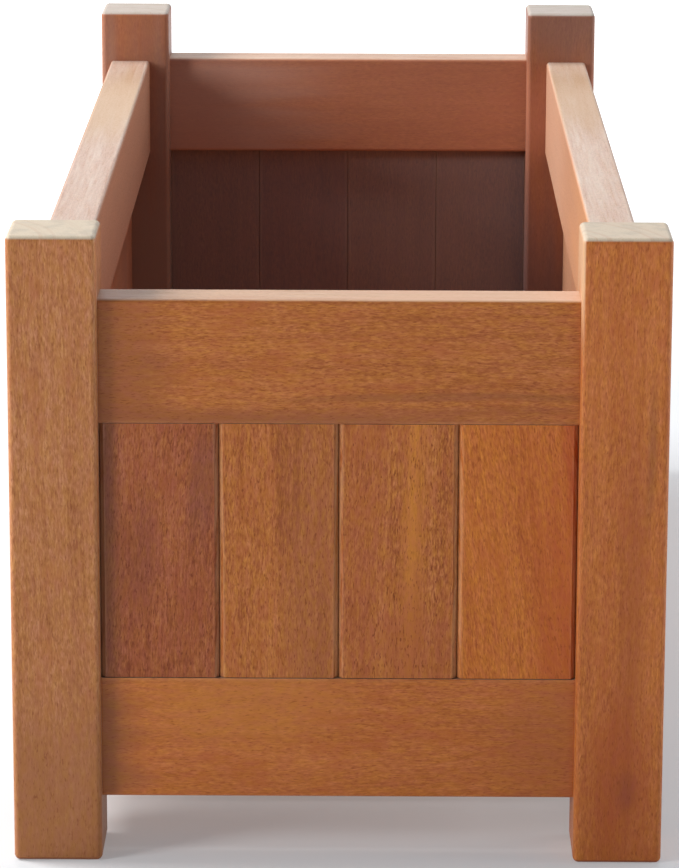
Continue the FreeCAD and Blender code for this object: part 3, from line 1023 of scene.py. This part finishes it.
@dataclass
class Screws:
    """The countersunk screws of the floor, with cross recesses and threads."""

    finish: SteelFinish
    floor_long: float = 0.029
    cleat_long: float = 0.042
    sink: float = 0.0003
    head: float = 0.0080
    lip: float = 0.0006
    shank: float = 0.0040
    core: float = 0.0028
    pitch: float = 0.0018
    sides: int = 24
    thread_sides: int = 10
    thread_steps: int = 4
    recess_long: float = 0.0021
    recess_wide: float = 0.0006
    recess_deep: float = 0.0016
    recess_taper: float = 0.55

    def build(self) -> list[str]:
        """Builds the floor's and the cleats' screws.

        Returns:
            The names of the two pieces.
        """
        floor = self.group("floor_screw_set", "floor_screws", self.floor_long, self.floor_spots())
        cleat = self.group("cleat_screw_set", "cleat_screws", self.cleat_long, self.cleat_spots())
        return [floor.name, cleat.name]

    def group(self, name: str, nodes: str, long: float, spots: list[Matrix]) -> bpy.types.Object:
        """Builds one group of screws and lets it stand for its solids.

        Args:
            name: The piece's name.
            nodes: The node of screws that it stands for.
            long: A screw's length, with the depth that its head is sunk.
            spots: The place of each screw: its head's middle, with the screw pointing along -Z.

        Returns:
            The piece.
        """
        one = bpy.data.meshes.new(f"{name}_one")
        shape = bmesh.new()
        self.shape_head(shape)
        self.shape_shank(shape, long - self.sink)
        bmesh.ops.recalc_face_normals(shape, faces=shape.faces)
        shape.to_mesh(one)
        shape.free()
        whole = bmesh.new()
        for spot in spots:
            start = len(whole.verts)
            whole.from_mesh(one)
            whole.verts.ensure_lookup_table()
            bmesh.ops.transform(whole, matrix=spot, verts=whole.verts[start:])
        mesh = bpy.data.meshes.new(name)
        whole.to_mesh(mesh)
        whole.free()
        bpy.data.meshes.remove(one)
        piece = bpy.data.objects.new(name, mesh)
        bpy.context.scene.collection.objects.link(piece)
        wear(piece, self.finish.make())
        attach(piece, BODY)
        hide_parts(nodes)
        return piece

    def shape_head(self, shape: bmesh.types.BMesh) -> None:
        """Adds a screw's head, with a cross recess in its flat top at zero.

        Args:
            shape: The screw's mesh.
        """
        rim = self.ring(shape, self.head / 2, 0.0)
        short, long = self.recess_wide, self.recess_long
        corner = ((short, long), (short, short), (long, short))
        cross = []
        for quarter in range(4):
            turn = Matrix.Rotation(-quarter * math.pi / 2, 3, "Z")
            cross += [turn @ Vector((x, y, 0.0)) for x, y in corner]
        mouth = [shape.verts.new(point) for point in cross]
        taper = self.recess_taper
        floor = [shape.verts.new((p.x * taper, p.y * taper, -self.recess_deep)) for p in cross]
        edges = [shape.edges.new(pair) for pair in zip(rim, rim[1:] + rim[:1])]
        edges += [shape.edges.new(pair) for pair in zip(mouth, mouth[1:] + mouth[:1])]
        bmesh.ops.triangle_fill(shape, use_beauty=True, use_dissolve=False, edges=edges)
        self.bridge(shape, mouth, floor)
        shape.faces.new(floor)
        lower = self.ring(shape, self.head / 2, -self.lip)
        neck = self.ring(shape, self.shank / 2, self.neck_level())
        self.bridge(shape, rim, lower)
        self.bridge(shape, lower, neck)

    def neck_level(self) -> float:
        """Where the head's cone meets the shank."""
        return -self.lip - (self.head - self.shank) / 2

    def shape_shank(self, shape: bmesh.types.BMesh, reach: float) -> None:
        """Adds the threaded shank and its point.

        Args:
            shape: The screw's mesh.
            reach: The screw's length.
        """
        top = self.neck_level()
        tip = -reach + self.shank
        steps = max(2, round((top - tip) / self.pitch * self.thread_steps))
        last = None
        for step in range(steps + 1):
            level = top + (tip - top) * step / steps
            ring = []
            for side in range(self.thread_sides):
                turn = side / self.thread_sides
                crest = abs(2 * ((level / self.pitch + turn) % 1) - 1)
                radius = (self.core + (self.shank - self.core) * crest) / 2
                angle = turn * 2 * math.pi
                ring.append(shape.verts.new((radius * math.cos(angle), radius * math.sin(angle), level)))
            if last:
                self.bridge(shape, last, ring)
            last = ring
        point = shape.verts.new((0.0, 0.0, -reach))
        for first, second in zip(last, last[1:] + last[:1]):
            shape.faces.new((first, second, point))

    def ring(self, shape: bmesh.types.BMesh, radius: float, level: float) -> list:
        """Adds a ring of points for the head.

        Args:
            shape: The screw's mesh.
            radius: The ring's radius.
            level: Its height.

        Returns:
            The points, in order.
        """
        turns = (side * 2 * math.pi / self.sides for side in range(self.sides))
        return [shape.verts.new((radius * math.cos(turn), radius * math.sin(turn), level)) for turn in turns]

    def bridge(self, shape: bmesh.types.BMesh, first: list, second: list) -> None:
        """Adds a band of faces between two rings of as many points.

        Args:
            shape: The screw's mesh.
            first: The first ring.
            second: The second ring.
        """
        count = len(first)
        for here in range(count):
            after = (here + 1) % count
            shape.faces.new((first[here], first[after], second[after], second[here]))

    def floor_spots(self) -> list[Matrix]:
        """The places of the screws that hold the floor boards to the cleats.

        Returns:
            One place for each screw.
        """
        spots = []
        for node in nodes_like("floor_board"):
            low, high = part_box(node)
            quarter = (high.y - low.y) / 4
            for cleat in ("left_floor_cleat", "right_floor_cleat"):
                across = sum(corner.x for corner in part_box(cleat)) / 2
                for along in (low.y + quarter, high.y - quarter):
                    turn = Matrix.Rotation(random.Random(f"{across}{along}").uniform(0, math.pi), 4, "Z")
                    spots.append(Matrix.Translation((across, along, high.z - self.sink)) @ turn)
        return spots

    def cleat_spots(self) -> list[Matrix]:
        """The places of the screws that hold the cleats to the long bottom rails.

        Returns:
            One place for each screw.
        """
        boards = nodes_like("floor_board")
        spots = []
        for before, after in list(zip(boards, boards[1:]))[::2]:
            along = (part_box(before)[1].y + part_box(after)[0].y) / 2
            for cleat, way in (("left_floor_cleat", 1), ("right_floor_cleat", -1)):
                low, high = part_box(cleat)
                face = (high.x if way > 0 else low.x) - way * self.sink
                turn = Matrix.Rotation(way * math.pi / 2, 4, "Y")
                spots.append(Matrix.Translation((face, along, (low.z + high.z) / 2)) @ turn)
        return spots


@dataclass(frozen=True)
class Lamp:
    """A soft rectangular light: where it is, where it points, its size and its power in watts."""

    name: str
    place: Triple
    aim: Triple
    wide: float
    tall: float
    power: float
    colour: Colour = (1.0, 1.0, 1.0)

    def hang(self) -> bpy.types.Object:
        """Makes the light.

        Returns:
            The light.
        """
        data = bpy.data.lights.new(self.name, "AREA")
        data.shape = "RECTANGLE"
        data.size = self.wide
        data.size_y = self.tall
        data.energy = self.power
        data.color = self.colour
        lamp = bpy.data.objects.new(self.name, data)
        lamp.location = self.place
        lamp.rotation_euler = (Vector(self.aim) - Vector(self.place)).to_track_quat("-Z", "Y").to_euler()
        bpy.context.scene.collection.objects.link(lamp)
        return lamp


@dataclass
class Studio:
    """The pale floor, the soft lights and the camera."""

    floor_half: float = 30.0
    floor_colour: Colour = (0.6, 0.6, 0.6)
    floor_roughness: float = 0.9
    floor_specular: float = 0.1
    floor_glow: float = 0.85
    glow_start: float = 0.7
    glow_full: float = 2.6
    glow_least: float = 0.25
    ambient: float = 0.17
    ambient_colour: Colour = (0.7, 1.0, 1.35)
    lens_pixels: float = 4242.4
    image_tall: int = 868
    sensor: float = 36.0
    sight: float = 200.0
    camera_place: Triple = (0.01733, -2.84445, 0.84772)
    heading: float = 0.406
    dip: float = 13.892
    roll: float = 0.160
    lamps: tuple[Lamp, ...] = (
        Lamp("left_lamp", (-2.4, 0.35, 2.2), (0.0, 0.0, 0.2), 1.6, 1.2, 122.0),
        Lamp("front_lamp", (-4.63, -2.87, 1.85), (0.0, -0.45, 0.2), 1.6, 1.7, 162.0),
        Lamp("top_lamp", (0.0, 1.3, 3.0), (0.0, 0.0, 0.2), 2.0, 1.2, 40.0),
        Lamp("back_lamp", (0.0, 4.2, 1.6), (0.0, 0.0, 0.3), 7.0, 0.8, 32.0),
        Lamp("right_lamp", (3.2, 0.0, 0.7), (0.0, 0.0, 0.2), 2.0, 1.0, 46.0),
    )

    def build(self) -> list[str]:
        """Sets up the floor, lights, sky and camera.

        Returns:
            The names of what was set up.
        """
        lamps = [lamp.hang() for lamp in self.lamps]
        made = [self.lay_floor(), self.set_sky(), self.set_camera(), *lamps]
        return [thing.name for thing in made]

    def lay_floor(self) -> bpy.types.Object:
        """Lays a large pale floor under the box, which brightens away from it.

        Returns:
            The floor.
        """
        shape = bmesh.new()
        bmesh.ops.create_grid(shape, x_segments=1, y_segments=1, size=self.floor_half)
        mesh = bpy.data.meshes.new("studio_floor")
        shape.to_mesh(mesh)
        shape.free()
        floor = bpy.data.objects.new("studio_floor", mesh)
        bpy.context.scene.collection.objects.link(floor)
        bench = Bench("studio_floor_finish")
        x, y, _ = bench.parts(bench.place())
        away = ((x * x + y * y) ** 0.5).rise(self.glow_start, self.glow_full)
        dim = (self.glow_least, self.glow_least, self.glow_least)
        finish = bench.finish(
            Base_Color=self.floor_colour,
            Roughness=self.floor_roughness,
            Specular_IOR_Level=self.floor_specular,
            Emission_Color=bench.mix(dim, (1.0, 1.0, 1.0), away),
            Emission_Strength=self.floor_glow,
        )
        wear(floor, finish)
        return floor

    def set_sky(self) -> bpy.types.World:
        """Surrounds the scene with a weak cool light.

        Returns:
            The world.
        """
        world = bpy.data.worlds.new("studio_air")
        world.use_nodes = True
        air = world.node_tree.nodes["Background"]
        air.inputs["Strength"].default_value = self.ambient
        air.inputs["Color"].default_value = (*self.ambient_colour, 1.0)
        bpy.context.scene.world = world
        return world

    def set_camera(self) -> bpy.types.Object:
        """Places the camera.

        Returns:
            The camera.
        """
        data = bpy.data.cameras.new("camera")
        data.sensor_width = self.sensor
        data.lens = self.lens_pixels * self.sensor / self.image_tall
        data.clip_end = self.sight
        camera = bpy.data.objects.new("camera", data)
        turn = Matrix.Rotation(math.radians(self.heading), 4, "Z")
        turn = turn @ Matrix.Rotation(math.radians(90 - self.dip), 4, "X")
        turn = turn @ Matrix.Rotation(math.radians(self.roll), 4, "Z")
        camera.matrix_world = Matrix.Translation(self.camera_place) @ turn
        bpy.context.scene.collection.objects.link(camera)
        bpy.context.scene.camera = camera
        bpy.context.scene.view_settings.view_transform = "Standard"
        return camera


def main() -> None:
    """Dresses the box, sets up the studio and reports each piece."""
    logging.basicConfig(level=logging.INFO, format="%(message)s")
    # Side rails: a bluer painted highlight on top, a painted reflection of the cool sky.
    oiled = WoodFinish(top_highlight_colour=screen(204, 191, 177))
    sawn = WoodFinish(contrast=0.34, saw_strength=0.5, roughness=0.72, specular=0.2, top_highlight_strength=0.0)
    # Rear posts: greyer end grain with less painted highlight, and a darker painted glare on their inner
    # faces.
    rear_post_finish = WoodFinish(end_and_highlight_colour=screen(174, 166, 156), dry_and_glare_colour=screen(147, 93, 73))
    shut = WoodFinish(dry_and_glare_strength=0.0)
    # Front rails: a weaker painted highlight on top.
    shaded = WoodFinish(top_highlight_colour=screen(205, 186, 159), top_highlight_strength=0.43)
    # Rear rails: a darker painted glare on their inner faces.
    rear_rail_finish = WoodFinish(dry_and_glare_colour=screen(174, 117, 97))
    # Slats: a strong painted highlight on the bevels, with their wear.
    bevelled = WoodFinish(
        contrast=0.25,
        pore_strength=0.65,
        wear_and_glint_colour=screen(208, 166, 126),
        wear_and_glint_width=0.0045,
        wear_and_glint_strength=0.52,
    )
    # Rear slats: grey painted glare over their shaded inner faces, and a weaker painted highlight on the
    # bevels.
    rear_slat_finish = replace(bevelled, dry_and_glare_colour=screen(124, 122, 127), dry_and_glare_strength=0.65, wear_and_glint_strength=0.3)
    for assembly in (Posts(shut, rear_post_finish), Rails(shaded, rear_rail_finish, oiled), Slats(bevelled, rear_slat_finish), Floor(sawn)):
        for node in assembly.dress():
            log.info("dressed %s", node)
    for name in Screws(SteelFinish()).build():
        log.info("built %s", name)
    for name in Studio().build():
        log.info("set up %s", name)


if __name__ == "__main__":
    main()
